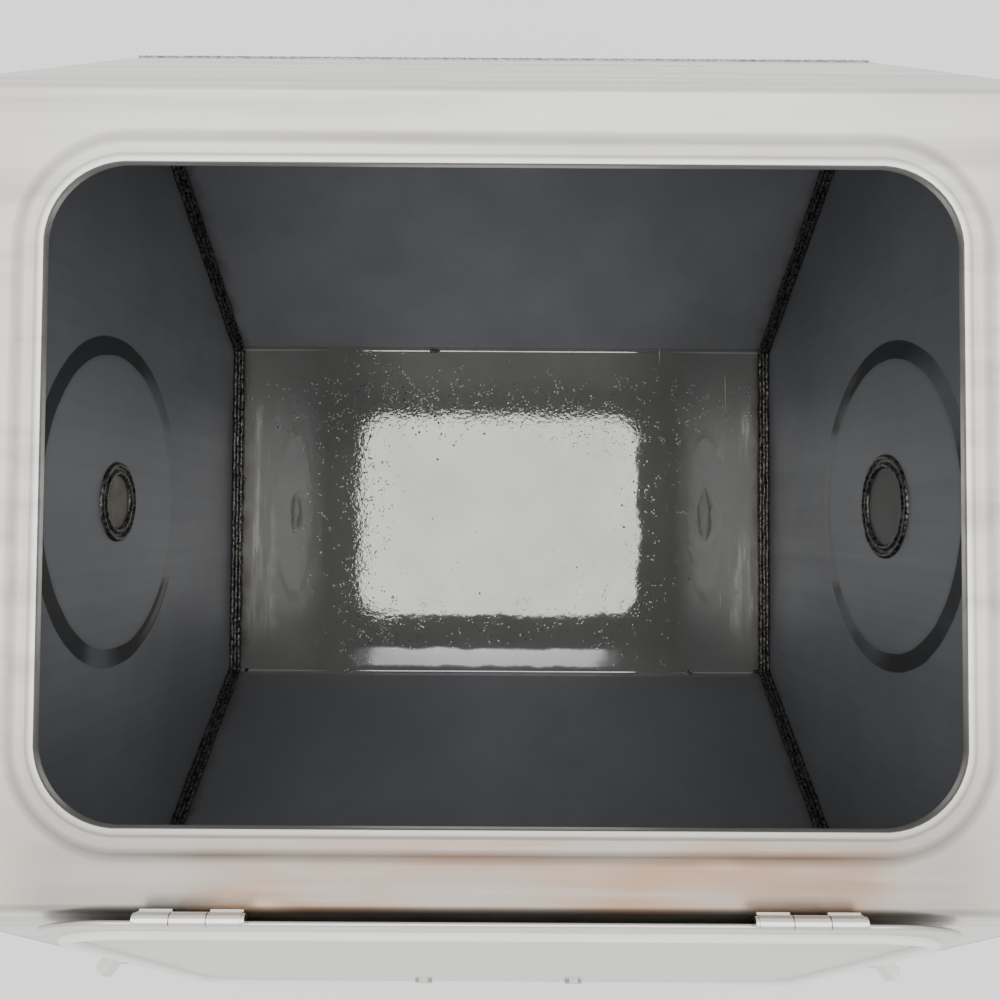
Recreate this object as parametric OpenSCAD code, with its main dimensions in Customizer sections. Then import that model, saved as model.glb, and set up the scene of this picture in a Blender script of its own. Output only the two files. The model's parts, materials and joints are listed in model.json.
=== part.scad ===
// Tilting milk tank: a six-sided stainless vessel on two trunnions, carried by a stand on levelling feet.
// Units are millimetres. X runs along the trunnions, -Y is the side the lid folds to, and Z is up.
// The origin is on the ground, midway between the four feet.

/* [Vessel] */
// Inside length of the vessel, between its end plates
vessel_len = 500; // [400:10:640]
// Drop from the trunnion axis to the inside of the floor
floor_drop = 250; // [200:5:300]
// Rise from the trunnion axis to the inside of the top panel
top_rise = 189; // [160:1:230]
// Inside width of the floor
floor_w = 302; // [240:2:370]
// Inside width of the vessel at its side folds
waist_w = 606; // [500:2:720]
// Drop from the trunnion axis to the side folds
waist_drop = 21; // [0:1:40]
// Inside width of the top panel
top_w = 356; // [340:2:430]
// Wall of the folded shell
shell_t = 2; // [1:0.25:3]
// Thickness of the end plates
end_t = 3; // [2:0.5:5]
// Leg of the welds inside the corners
weld_leg = 7; // [4:0.5:10]

/* [Opening and lid] */
// Length of the opening along the trunnions
mouth_len = 398; // [300:2:440]
// Width of the opening across the trunnions
mouth_w = 286; // [220:2:290]
// Corner radius of the opening
mouth_r = 36; // [20:1:60]
// Height of the raised land round the opening
land_h = 3; // [2:0.5:8]
// Width of the raised land
land_w = 13; // [10:0.5:16]
// Width of the lip at the edge of the opening
lip_w = 3.5; // [2.5:0.25:5]
// Rise of the lip above the land
lip_h = 1; // [0.5:0.25:2]
// Sheet of the lid
lid_t = 2; // [1.5:0.25:3]
// Free height of the lid gasket
gasket_h = 3; // [2.5:0.5:6]
// Corner radius of the lid
lid_r = 46; // [30:1:48]
// Grip length of the lid handle
handle_len = 130; // [90:5:180]
// Stand-off of the lid handle
handle_out = 32; // [26:1:40]

/* [Trunnions] */
// Radius of the bearing journals
journal_r = 20; // [15:1:25]
// Radius of the welded flange disc on each end plate
flange_r = 104; // [85:1:125]
// Thickness of the flange disc
flange_t = 8; // [6:0.5:12]
// Radius of the left spigot, which ends flush inside the vessel
spigot_r_left = 18; // [12:0.5:19]
// Radius of the right spigot, which ends flush inside the vessel
spigot_r_right = 26; // [20:0.5:30]
// Radius of the stubs beyond the bearings
stub_r = 15; // [12:0.5:18]
// Length of the stubs
stub_len = 60; // [50:1:80]

/* [Handwheel] */
// Radius of the rim, to the middle of its bar
wheel_r = 180; // [140:5:220]
// Radius of the rim bar
rim_r = 10; // [8:0.5:13]
// Radius of the spokes
spoke_r = 7; // [6:0.5:9]
// Length of the crank grip
grip_len = 90; // [70:2:110]
// Radius of the crank grip
grip_r = 14; // [11:0.5:16]

/* [Stand] */
// Height of the trunnion axis above the ground
axis_h = 700; // [640:10:860]
// Side of the square tube
tube = 40; // [32:2:50]
// Wall of the square tube
tube_wall = 2; // [1.5:0.25:3]
// Distance between the front and back feet
foot_span = 660; // [560:10:780]
// Height of the middle of the lower rails
rail_z = 170; // [140:5:260]
// Gap between a flange hub and the bearing housing
hub_gap = 8; // [4:1:20]
// Length of the plates that carry the bearings
plate_len = 190; // [180:5:240]
// Thickness of those plates
plate_t = 10; // [8:1:14]
// Radius of a foot pad
pad_r = 30; // [24:1:40]

/* [Hidden] */
$fn = 64;
fit = 0.05;            // radial clearance of shafts and pins in their seats
ball_fit = 0.15;       // clearance of the balls in the inner rings
seat_gap = 0.3;        // gap between two moving pieces that close on each other
half_len = vessel_len / 2;
flange_x = half_len + end_t;
hub_len = 14;
hub_r = journal_r + 18;
hub_x = flange_x + flange_t + hub_len;

// Bearings
ball_r = 6;
ball_count = 10;
inner_ring_r = journal_r + 7;
ball_pitch = journal_r + 11;
outer_ring_r = journal_r + 22;
outer_ring_w = 20;
inner_ring_w = 30;
housing_wall = 9;
housing_r = outer_ring_r + housing_wall;
housing_w = 34;
base_t = 16;
base_w = 44;
bolt_y = 72;
bolt_r = 6;
bearing_x = hub_x + hub_gap + housing_w / 2;
stub_x = bearing_x + housing_w / 2 + 6;      // where each journal steps down to its stub
reach_x = stub_x + stub_len;                 // both ends of the trunnion line
plate_top = axis_h - housing_r;
plate_bottom = plate_top - plate_t;
plate_w = 60;

// Inside outline of the shell about the trunnion axis, in Y and Z, anticlockwise from the front side fold.
inside = [[-waist_w / 2, -waist_drop], [-floor_w / 2, -floor_drop], [floor_w / 2, -floor_drop],
    [waist_w / 2, -waist_drop], [top_w / 2, top_rise], [-top_w / 2, top_rise]];

// An outline moved outwards by d with its corners kept sharp.
function unit(v) = v / norm(v);
function out_of(p, i) = let (e = unit(p[(i + 1) % len(p)] - p[i % len(p)])) [e[1], -e[0]];
function corner(p, i, d) =
    let (a = out_of(p, i + len(p) - 1), b = out_of(p, i)) p[i] + d * (a + b) / (1 + a * b);
function grown(p, d) = [for (i = [0 : len(p) - 1]) corner(p, i, d)];
outside = grown(inside, shell_t);

// Front upper panel: the way down it and out of it from its top fold; the back one is its mirror image.
fold = outside[5];
down = unit(outside[0] - outside[5]);
out = [down[1], -down[0]];
function front_at(s, o) = fold + s * down + o * out;
function back_at(s, o) = [-front_at(s, o)[0], front_at(s, o)[1]];

// Lid heights above the trunnion axis
top_z = top_rise + shell_t;
gasket_z = top_z + land_h + seat_gap;
lid_z = gasket_z + gasket_h;
lid_top = lid_z + lid_t;
lid_over = land_w - 1;
lid_back = mouth_w / 2 + lid_over;
lid_hx = mouth_len / 2 + lid_over;

// Lid hinge: its pin is placed so that the lid folds flat, lid_rest off the front panel.
lid_rest = 4;
pin_back = 7;
pin_out = (lid_rest + lid_top - top_z + pin_back * down[1]) / (1 + out[1]);
pin_at = front_at(-pin_back, pin_out);
pin_r = 1.5;
knuckle_r = 3;
knuckle_len = 14;
knuckle_gap = 0.5;
hinge_len = 44;
hinge_x = 130;
leaf_t = 2;
leaf_reach = 18;
leaf_start = 6;                              // how far a fixed leaf stands up past the fold
lid_front = pin_at[0] + knuckle_r + 1;
fold_angle = 180 + acos(out[1]);

// Lid clamps, one at each end of the lid. Their outlines are in X and Z about the trunnion axis.
clamp_y = 103;
clamp_w = 16;
clamp_pin_r = 3;
clamp_at = [lid_hx + 4, lid_top + 6];
clamp_eye_r = 6;
clamp_release = 35;
heel_len = 14;                               // heel that stops a released lever on the lid
catch_drop = 10;
catch_h = 7;
catch_out = 5;
catch_arc = norm([flange_x, top_z - catch_drop - catch_h] - clamp_at);
hook_t = 4;
hook_cut = 3;                                // corner cut off the hook so that it swings clear of the legs
tab_len = 9;
ear_t = 3;
ear_gap = 0.5;
ear_len = 24;
arc_fn = 256;                                // facets of the wide arcs that the hooks run on

// Stand
leg_top_y = 68;
leg_z0 = 80;
foot_y = foot_span / 2;
stem_r = 8;
rubber_h = 6;
pad_h = 12;
cap_t = 6;
nut_h = 8;

// Brake on the left stub
brake_x = stub_x + 4;
brake_w = 24;
brake_hy = 30;
brake_slit = 3;
screw_r = 5;
screw_z = axis_h + stub_r + 14;
brake_top = screw_z + 12;
knob_r = 9;

// Handwheel on the right stub
wheel_hub_r = stub_r + 13;
wheel_x = reach_x - 26;
key_w = 8;
key_h = 7;
key_len = 30;
spindle_r = 5;
spindle_head_t = 3;
spindle_end = wheel_x + rim_r + grip_len + 1;
lever_len = spindle_end + spindle_head_t - brake_x - brake_w / 2 - knob_r;   // reaches as far out as the grip

steel = "silver";

// ---------- shared shapes ----------

// Rounded rectangle of half sizes hx and hy.
module rounded_rect(hx, hy, r) {
    square([2 * (hx - r), 2 * hy], center = true);
    square([2 * hx, 2 * (hy - r)], center = true);
    for (sx = [-1, 1], sy = [-1, 1]) translate([sx * (hx - r), sy * (hy - r)]) circle(r);
}

// Flat ring round the opening, from inner to outer beyond its edge.
module mouth_ring(inner, outer, h) {
    linear_extrude(h) difference() {
        rounded_rect(mouth_len / 2 + outer, mouth_w / 2 + outer, mouth_r + outer);
        rounded_rect(mouth_len / 2 + inner, mouth_w / 2 + inner, mouth_r + inner);
    }
}

// Outline in Y and Z run along X from x0 to x1.
module along_x(points, x0, x1) {
    translate([x0, 0, 0]) rotate([90, 0, 90]) linear_extrude(x1 - x0) polygon(points);
}

// Cylinder along X from x0 to x1.
module rod_x(r, x0, x1) { translate([x0, 0, 0]) rotate([0, 90, 0]) cylinder(r = r, h = x1 - x0); }

// Outline in X and Z run along Y from -half to half.
module along_y(points, half) { rotate([90, 0, 0]) linear_extrude(2 * half, center = true) polygon(points); }

// Cylinder along Y from y0 to y1.
module rod_y(r, y0, y1) { translate([0, y0, 0]) rotate([-90, 0, 0]) cylinder(r = r, h = y1 - y0); }

// A profile of radius and height, turned about X with its height running towards +X from x0.
module turned_x(x0) { translate([x0, 0, 0]) rotate([0, 90, 0]) rotate_extrude() children(); }

// Lifts what is drawn about the trunnion axis to its height above the ground.
module on_axis() { translate([0, 0, axis_h]) children(); }

// The left end is the mirror image of the right end.
module left() { mirror([1, 0, 0]) children(); }

// Both ends.
module both() { children(); left() children(); }

// Turns what is drawn on the shut lid, about the trunnion axis, to the lid folded open.
module lid_open() {
    on_axis() translate([0, pin_at[0], pin_at[1]]) rotate([fold_angle, 0, 0])
        translate([0, -pin_at[0], -pin_at[1]]) children();
}

// ---------- vessel ----------

module lower_trough() {
    color(steel) on_axis() along_x([inside[0], inside[1], inside[2], inside[3],
        outside[3], outside[2], outside[1], outside[0]], -half_len, half_len);
}

module upper_hood() {
    color(steel) on_axis() difference() {
        along_x([inside[3], inside[4], inside[5], inside[0],
            outside[0], outside[5], outside[4], outside[3]], -half_len, half_len);
        translate([0, 0, top_rise - 1]) linear_extrude(shell_t + 2)
            rounded_rect(mouth_len / 2, mouth_w / 2, mouth_r);
    }
}

module end_plate(spigot_r) {
    color(steel) on_axis() difference() {
        along_x(outside, half_len, flange_x);
        rod_x(spigot_r, half_len - 1, flange_x + 1);
    }
}
module end_plate_left() { left() end_plate(spigot_r_left); }
module end_plate_right() { end_plate(spigot_r_right); }

// Fillet weld along the six inside edges of an end plate, in steps of [width on the shell, on the plate].
weld_steps = [[weld_leg, weld_leg * 0.3], [weld_leg * 0.65, weld_leg * 0.65], [weld_leg * 0.3, weld_leg]];
module corner_weld() {
    color("dimgray") on_axis() for (w = weld_steps) difference() {
        along_x(inside, half_len - w[0], half_len);
        along_x(grown(inside, -w[1]), half_len - w[0] - 1, half_len + 1);
    }
}
module corner_weld_left() { left() corner_weld(); }
module corner_weld_right() { corner_weld(); }

module mouth_land() {
    color(steel) on_axis() translate([0, 0, top_z]) mouth_ring(lip_w, land_w, land_h);
}
module mouth_lip() {
    color("gainsboro") on_axis() translate([0, 0, top_z]) mouth_ring(0, lip_w, land_h + lip_h);
}

// Weld round a spigot on the inside of the end plate: two low beads with a valley between them.
module port_weld(spigot_r) {
    color("dimgray") on_axis() translate([half_len, 0, 0]) rotate([0, -90, 0]) rotate_extrude()
        translate([spigot_r - 1, 0])
            polygon([[0, 0], [0.6, 1.2], [2.4, 1.8], [4.2, 0.8], [5.8, 1.8], [7.8, 1.3], [9, 0]]);
}
module port_weld_left() { left() port_weld(spigot_r_left); }
module port_weld_right() { port_weld(spigot_r_right); }

// Flange disc with its hub, welded to the end plate and to the shaft.
module trunnion_flange() {
    color("gainsboro") on_axis() turned_x(flange_x)
        polygon([[journal_r, 0], [flange_r, 0], [flange_r, flange_t - 2], [flange_r - 2, flange_t],
            [hub_r + 6, flange_t], [hub_r, flange_t + 6], [hub_r, flange_t + hub_len],
            [journal_r, flange_t + hub_len]]);
}
module trunnion_flange_left() { left() trunnion_flange(); }
module trunnion_flange_right() { trunnion_flange(); }

module key_block() {
    translate([wheel_x - key_len / 2, -key_w / 2, stub_r - key_h / 2]) cube([key_len, key_w, key_h]);
}

// Spigot, journal and stub in one turned shaft.
module trunnion_shaft(spigot_r) {
    color("lightgray") union() {
        rod_x(spigot_r, half_len, flange_x);
        rod_x(journal_r, flange_x, stub_x);
        rod_x(stub_r, stub_x, reach_x);
    }
}
module trunnion_shaft_left() { on_axis() left() trunnion_shaft(spigot_r_left); }
module trunnion_shaft_right() {
    color("lightgray") on_axis() difference() {
        trunnion_shaft(spigot_r_right);
        key_block();
        rod_x(4, reach_x - 22, reach_x + 1);
    }
}

module bearing_inner_rings() {
    color("lightgray") on_axis() both() difference() {
        rod_x(inner_ring_r, bearing_x - inner_ring_w / 2, bearing_x + inner_ring_w / 2);
        rod_x(journal_r, bearing_x - inner_ring_w, bearing_x + inner_ring_w);
        turned_x(bearing_x) translate([ball_pitch, 0]) circle(ball_r + ball_fit);
    }
}

// Rubber buttons on the front panel that keep the folded lid off it.
module lid_buffers() {
    color("dimgray") on_axis() for (x = [-150, 150]) translate([x, front_at(170, 0)[0], front_at(170, 0)[1]])
        rotate([acos(out[1]), 0, 0]) cylinder(r = 8, h = lid_rest - seat_gap);
}

// ---------- lid hinge ----------

// Children spaced along one hinge: the two outer knuckles, or the middle one.
module outer_knuckles() {
    for (x = [-hinge_x, hinge_x], s = [-1, 1])
        translate([x + s * (hinge_len - knuckle_len) / 2, 0, 0]) children();
}
middle_len = hinge_len - 2 * knuckle_len - 2 * knuckle_gap;
module middle_knuckles() { for (x = [-hinge_x, hinge_x]) translate([x, 0, 0]) children(); }

module knuckle(len) {
    translate([0, pin_at[0], pin_at[1]]) difference() {
        rod_x(knuckle_r, -len / 2, len / 2);
        rod_x(pin_r + fit, -len, len);
    }
}

// Fixed leaves lie on the front panel and stand up past the fold to their knuckles.
module hinge_leaves() {
    post_top = pin_out - pin_r - 0.3;
    color("gainsboro") on_axis() outer_knuckles() union() {
        knuckle(knuckle_len);
        along_x([front_at(-leaf_start, 0), front_at(leaf_reach, 0), front_at(leaf_reach, leaf_t),
            front_at(2.5 - pin_back, leaf_t), front_at(2.5 - pin_back, post_top),
            front_at(0.5 - pin_back, post_top), front_at(0.5 - pin_back, leaf_t),
            front_at(-leaf_start, leaf_t)], -knuckle_len / 2, knuckle_len / 2);
    }
}
module lid_hinge_leaves() {
    color("gainsboro") lid_open() middle_knuckles() union() {
        knuckle(middle_len);
        translate([-middle_len / 2, pin_at[0] + pin_r + 0.5, lid_top]) cube([middle_len, leaf_reach, leaf_t]);
        translate([-middle_len / 2, pin_at[0] + pin_r + 0.5, pin_at[1]])
            cube([middle_len, knuckle_r - pin_r - 0.5, lid_top + leaf_t - pin_at[1]]);
    }
}
module lid_hinge_pins() {
    color("gray") on_axis() for (x = [-hinge_x, hinge_x]) translate([x, pin_at[0], pin_at[1]]) union() {
        rod_x(pin_r, -hinge_len / 2, hinge_len / 2);
        rod_x(pin_r + 1, -hinge_len / 2 - 1.5, -hinge_len / 2);
        rod_x(pin_r + 1, hinge_len / 2, hinge_len / 2 + 1.5);
    }
}

// ---------- lid ----------

module lid_panel() {
    color(steel) lid_open() translate([0, (lid_back + lid_front) / 2, lid_z]) linear_extrude(lid_t)
        rounded_rect(lid_hx, (lid_back - lid_front) / 2, lid_r);
}
module lid_gasket() {
    color("white") lid_open() translate([0, 0, gasket_z]) mouth_ring(lip_w + 1, lid_over - 0.5, gasket_h);
}

handle_y = lid_back - 30;
handle_post = handle_len / 2 - 12;
module lid_handle() {
    color("gainsboro") lid_open() translate([0, handle_y, lid_top]) union() {
        translate([0, 0, handle_out]) rod_x(6, -handle_len / 2, handle_len / 2);
        for (s = [-1, 1]) translate([s * handle_post, 0, 0]) {
            cylinder(r = 5, h = handle_out);
            cylinder(r = 11, h = 3);
        }
    }
}
module lid_handle_nuts() {
    color("gray") lid_open() for (s = [-1, 1]) translate([s * handle_post, handle_y, lid_z - 2.5])
        cylinder(r = 6, h = 2.5, $fn = 6);
}

// Children placed at a clamp pin of the right end of the shut lid.
module at_clamp() { translate([clamp_at[0], clamp_y, clamp_at[1]]) children(); }

// Two ears on the lid hold each clamp lever.
module clamp_ears() {
    ear_y = clamp_w / 2 + ear_gap + ear_t / 2;
    ear_up = clamp_at[1] - lid_top;
    color("gainsboro") lid_open() both() for (e = [-1, 1]) at_clamp()
        translate([0, e * ear_y, 0]) difference() {
            union() {
                rod_y(clamp_eye_r, -ear_t / 2, ear_t / 2);
                along_y([[-ear_len, -ear_up], [lid_hx - clamp_at[0], -ear_up], [lid_hx - clamp_at[0], 3],
                    [-ear_len, 3]], ear_t / 2);
            }
            rod_y(clamp_pin_r, -ear_t, ear_t);
        }
}
module clamp_pins() {
    reach = clamp_w / 2 + ear_gap + ear_t;
    color("gray") lid_open() both() at_clamp() union() {
        rod_y(clamp_pin_r, -reach - 1, reach + 1);
        rod_y(clamp_pin_r + 1.5, -reach - 2, -reach);
        rod_y(clamp_pin_r + 1.5, reach, reach + 2);
    }
}

// Welded catches on the end plates. Their undersides are arcs about the clamp pins of the shut lid.
module clamp_catches() {
    top = top_z - catch_drop;
    color("gainsboro") on_axis() both() intersection() {
        translate([0, clamp_y, 0]) along_y([[flange_x, top], [flange_x + catch_out, top],
            [flange_x + catch_out, top - 2 * catch_h], [flange_x, top - 2 * catch_h]], clamp_w / 2);
        at_clamp() rod_y(catch_arc, -clamp_w, clamp_w, $fn = arc_fn);
    }
}

// Hooked lever of the right end about its pin, latched. Its lip is cut to an arc just under the catch,
// and its heel comes down flat, just clear of the lid, when it is released.
module latched_lever() {
    inner = flange_x + catch_out + 1 - clamp_at[0];
    outer = inner + hook_t;
    tip = inner - catch_out + 1;
    low = top_z - catch_drop - catch_h - 2 * hook_t - clamp_at[1];
    heel_low = lid_top + seat_gap - clamp_at[1];
    difference() {
        union() {
            rod_y(clamp_eye_r, -clamp_w / 2, clamp_w / 2);
            along_y([[0, -hook_t], [inner, -hook_t], [inner, low], [outer - hook_cut, low],
                [outer, low + hook_cut], [outer, 0], [inner, hook_t], [0, hook_t]], clamp_w / 2);
            along_y([[inner, -hook_t], [outer + tab_len, 1], [outer + tab_len, hook_t], [inner, hook_t]],
                clamp_w / 2);
            rotate([0, clamp_release, 0]) along_y([[-heel_len, heel_low], [0, heel_low],
                [0, hook_t], [-heel_len, 0]], clamp_w / 2);
            difference() {
                along_y([[tip, low], [inner + 1, low], [inner + 1, -hook_t], [tip, -hook_t]], clamp_w / 2);
                rod_y(catch_arc + seat_gap, -clamp_w, clamp_w, $fn = arc_fn);
            }
        }
        rod_y(clamp_pin_r + fit, -clamp_w, clamp_w);
    }
}
module clamp_lever() {
    color("gainsboro") at_clamp() rotate([0, -clamp_release, 0]) latched_lever();
}
module clamp_lever_right() { lid_open() clamp_lever(); }
module clamp_lever_left() { lid_open() left() clamp_lever(); }

// ---------- handwheel ----------

module handwheel() {
    color("lightgray") on_axis() difference() {
        union() {
            rod_x(wheel_hub_r, stub_x + 4, reach_x);
            turned_x(wheel_x) translate([wheel_r, 0]) circle(rim_r);
            for (a = [0, 120, 240]) translate([wheel_x, 0, 0]) rotate([a, 0, 0])
                translate([0, 0, stub_r + 5]) cylinder(r = spoke_r, h = wheel_r - stub_r - 5);
        }
        rod_x(stub_r, stub_x, reach_x + 1);
        key_block();
        translate([0, 0, wheel_r]) rod_x(spindle_r, wheel_x, wheel_x + rim_r + 1);
    }
}
module wheel_key() { color("gray") on_axis() key_block(); }
module wheel_washer() {
    color("gray") on_axis() difference() {
        rod_x(stub_r + 6, reach_x, reach_x + 3);
        rod_x(4, reach_x - 1, reach_x + 4);
    }
}
module wheel_bolt() {
    color("gray") on_axis() union() {
        rod_x(4, reach_x - 20, reach_x + 3);
        translate([reach_x + 3, 0, 0]) rotate([0, 90, 0]) cylinder(r = 7.5, h = 5.3, $fn = 6);
    }
}
module grip_spindle() {
    color("gray") on_axis() translate([wheel_x, 0, wheel_r]) union() {
        rod_x(spindle_r, 0, spindle_end - wheel_x);
        rod_x(spindle_r + 3, spindle_end - wheel_x, spindle_end - wheel_x + spindle_head_t);
    }
}
module crank_grip() {
    color("black") on_axis() translate([wheel_x, 0, wheel_r]) turned_x(rim_r + 0.5)
        polygon([[spindle_r + fit, 0], [grip_r - 4, 0], [grip_r - 2, 4], [grip_r, grip_len * 0.6],
            [grip_r - 1, grip_len - 6], [grip_r - 5, grip_len], [spindle_r + fit, grip_len]]);
}

// ---------- stand ----------

leg_slope = (foot_y - leg_top_y) / (plate_bottom - leg_z0);
leg_half = tube / 2 * sqrt(1 + leg_slope * leg_slope);
wall_half = leg_half - tube_wall * sqrt(1 + leg_slope * leg_slope);
function leg_y(z) = leg_top_y + leg_slope * (plate_bottom - z);

// Slanted outline of a leg at the back, half wide in Y, between two heights.
function slant(half, z0, z1) = [[leg_y(z0) - half, z0], [leg_y(z0) + half, z0], [leg_y(z1) + half, z1],
    [leg_y(z1) - half, z1]];

// Back leg of the right side.
module leg() {
    color("lightgray") difference() {
        along_x(slant(leg_half, leg_z0, plate_bottom), bearing_x - tube / 2, bearing_x + tube / 2);
        along_x(slant(wall_half, leg_z0 - 1, plate_bottom + 1), bearing_x - tube / 2 + tube_wall,
            bearing_x + tube / 2 - tube_wall);
    }
}
module leg_back_right() { leg(); }
module leg_back_left() { left() leg(); }
module leg_front_right() { mirror([0, 1, 0]) leg(); }
module leg_front_left() { mirror([0, 1, 0]) left() leg(); }

module side_rail() {
    z0 = rail_z - tube / 2;
    z1 = rail_z + tube / 2;
    y0 = leg_y(z0) - leg_half;
    y1 = leg_y(z1) - leg_half;
    color("lightgray") difference() {
        along_x([[-y0, z0], [y0, z0], [y1, z1], [-y1, z1]], bearing_x - tube / 2, bearing_x + tube / 2);
        translate([bearing_x - tube / 2 + tube_wall, -y0 - 1, z0 + tube_wall])
            cube([tube - 2 * tube_wall, 2 * y0 + 2, tube - 2 * tube_wall]);
    }
}
module side_rail_right() { side_rail(); }
module side_rail_left() { left() side_rail(); }

module cross_rail() {
    reach = bearing_x - tube / 2;
    bore = tube - 2 * tube_wall;
    color("lightgray") translate([-reach, leg_y(rail_z) - tube / 2, rail_z - tube / 2]) difference() {
        cube([2 * reach, tube, tube]);
        translate([-1, tube_wall, tube_wall]) cube([2 * reach + 2, bore, bore]);
    }
}
module cross_rail_back() { cross_rail(); }
module cross_rail_front() { mirror([0, 1, 0]) cross_rail(); }

// Plate on top of a side frame, longer outwards where it also carries the brake.
module top_plate(x_out) {
    color("lightgray") difference() {
        translate([bearing_x - plate_w / 2, -plate_len / 2, plate_bottom])
            cube([x_out - bearing_x + plate_w / 2, plate_len, plate_t]);
        for (s = [-1, 1]) translate([bearing_x, s * bolt_y, plate_bottom - 1])
            cylinder(r = bolt_r, h = plate_t + 2);
    }
}
module top_plate_right() { top_plate(bearing_x + plate_w / 2); }
module top_plate_left() { left() top_plate(brake_x + brake_w + 4); }

// ---------- bearings ----------

module bearing_housing() {
    color("gray") on_axis() difference() {
        union() {
            rod_x(housing_r, bearing_x - housing_w / 2, bearing_x + housing_w / 2);
            translate([bearing_x - base_w / 2, -plate_len / 2 + 3, -housing_r])
                cube([base_w, plate_len - 6, base_t]);
            translate([bearing_x - housing_w / 2, -housing_r, -housing_r])
                cube([housing_w, 2 * housing_r, housing_r - 8]);
        }
        rod_x(outer_ring_r, bearing_x - housing_w, bearing_x + housing_w);
        for (s = [-1, 1]) translate([bearing_x, s * bolt_y, -housing_r - 1])
            cylinder(r = bolt_r, h = base_t + 2);
    }
}
module bearing_housing_right() { bearing_housing(); }
module bearing_housing_left() { left() bearing_housing(); }

module bearing_outer_rings() {
    color("lightgray") on_axis() both() difference() {
        rod_x(outer_ring_r, bearing_x - outer_ring_w / 2, bearing_x + outer_ring_w / 2);
        rod_x(outer_ring_r - 7, bearing_x - outer_ring_w, bearing_x + outer_ring_w);
        turned_x(bearing_x) translate([ball_pitch, 0]) circle(ball_r);
    }
}
module bearing_balls() {
    color("silver") on_axis() both() for (i = [0 : ball_count - 1])
        translate([bearing_x, 0, 0]) rotate([360 / ball_count * i, 0, 0])
            translate([0, 0, ball_pitch]) sphere(ball_r);
}
module bearing_bolts() {
    grip = plate_t + base_t;
    color("gray") both() for (s = [-1, 1]) translate([bearing_x, s * bolt_y, plate_bottom]) union() {
        translate([0, 0, -12]) cylinder(r = bolt_r, h = grip + 12);
        translate([0, 0, grip]) cylinder(r = 10, h = 7.5, $fn = 6);
        translate([0, 0, -nut_h]) cylinder(r = 10, h = nut_h, $fn = 6);
    }
}

// ---------- feet ----------

// Children at each of the four feet.
module at_feet() {
    for (sx = [-1, 1], sy = [-1, 1]) translate([sx * bearing_x, sy * foot_y, 0]) children();
}
module leg_caps() {
    color("lightgray") at_feet() translate([0, 0, leg_z0 - cap_t]) difference() {
        translate([-tube / 2, -leg_half, 0]) cube([tube, 2 * leg_half, cap_t]);
        translate([0, 0, -1]) cylinder(r = stem_r, h = cap_t + 2);
    }
}
module foot_nuts() {
    color("gray") at_feet() translate([0, 0, leg_z0 - cap_t - nut_h]) difference() {
        cylinder(r = 14, h = nut_h, $fn = 6);
        translate([0, 0, -1]) cylinder(r = stem_r, h = nut_h + 2);
    }
}
module foot_stems() {
    color("silver") at_feet() translate([0, 0, rubber_h + pad_h]) union() {
        cylinder(r = stem_r, h = leg_z0 + 10 - rubber_h - pad_h);
        cylinder(r = stem_r + 5, h = 8, $fn = 6);
    }
}
module foot_pads() {
    color("silver") at_feet() translate([0, 0, rubber_h]) rotate_extrude()
        polygon([[0, 0], [pad_r, 0], [pad_r, 3], [stem_r + 8, pad_h], [0, pad_h]]);
}
module foot_rubbers() { color("black") at_feet() cylinder(r = pad_r, h = rubber_h); }

// ---------- brake ----------

// Split block that grips the left stub when its screw is tightened.
module brake_block() {
    color("gray") left() difference() {
        translate([brake_x, -brake_hy, plate_top]) cube([brake_w, 2 * brake_hy, brake_top - plate_top]);
        on_axis() rod_x(stub_r + fit, brake_x - 1, brake_x + brake_w + 1);
        translate([brake_x - 1, -brake_slit / 2, axis_h])
            cube([brake_w + 2, brake_slit, brake_top - axis_h + 1]);
        translate([brake_x + brake_w / 2, 0, screw_z]) rod_y(screw_r + fit, -brake_hy - 1, brake_hy + 1);
    }
}
module brake_screw() {
    color("silver") translate([-brake_x - brake_w / 2, 0, screw_z]) union() {
        rod_y(screw_r, -brake_hy - 14, brake_hy + 8);
        translate([0, brake_hy, 0]) rotate([-90, 0, 0]) cylinder(r = 9, h = 7, $fn = 6);
    }
}

// Lever nut that tightens the brake.
module brake_lever() {
    color("black") translate([-brake_x - brake_w / 2, -brake_hy, screw_z]) difference() {
        union() {
            rod_y(11, -16, -seat_gap);
            translate([0, -10, 0]) rotate([0, -90, 0]) union() {
                cylinder(r = 5, h = lever_len);
                translate([0, 0, lever_len]) sphere(knob_r);
            }
        }
        rod_y(screw_r + fit, -14 - 1, 1);
    }
}

lower_trough();
upper_hood();
end_plate_left();
end_plate_right();
corner_weld_left();
corner_weld_right();
mouth_land();
mouth_lip();
trunnion_flange_left();
trunnion_flange_right();
trunnion_shaft_left();
trunnion_shaft_right();
port_weld_left();
port_weld_right();
hinge_leaves();
lid_buffers();
clamp_catches();
bearing_inner_rings();
lid_panel();
lid_gasket();
lid_hinge_leaves();
lid_hinge_pins();
lid_handle();
lid_handle_nuts();
clamp_ears();
clamp_pins();
clamp_lever_left();
clamp_lever_right();
handwheel();
wheel_key();
wheel_washer();
wheel_bolt();
grip_spindle();
crank_grip();
leg_front_left();
leg_front_right();
leg_back_left();
leg_back_right();
side_rail_left();
side_rail_right();
cross_rail_front();
cross_rail_back();
top_plate_left();
top_plate_right();
bearing_housing_left();
bearing_housing_right();
bearing_outer_rings();
bearing_balls();
bearing_bolts();
leg_caps();
foot_nuts();
foot_stems();
foot_pads();
foot_rubbers();
brake_block();
brake_screw();
brake_lever();
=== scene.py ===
"""Tilting milk tank: pressed sheet, weld beads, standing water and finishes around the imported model."""
import json
import math
import random

import bmesh
import bpy
from mathutils import Matrix, Vector, noise


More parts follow.
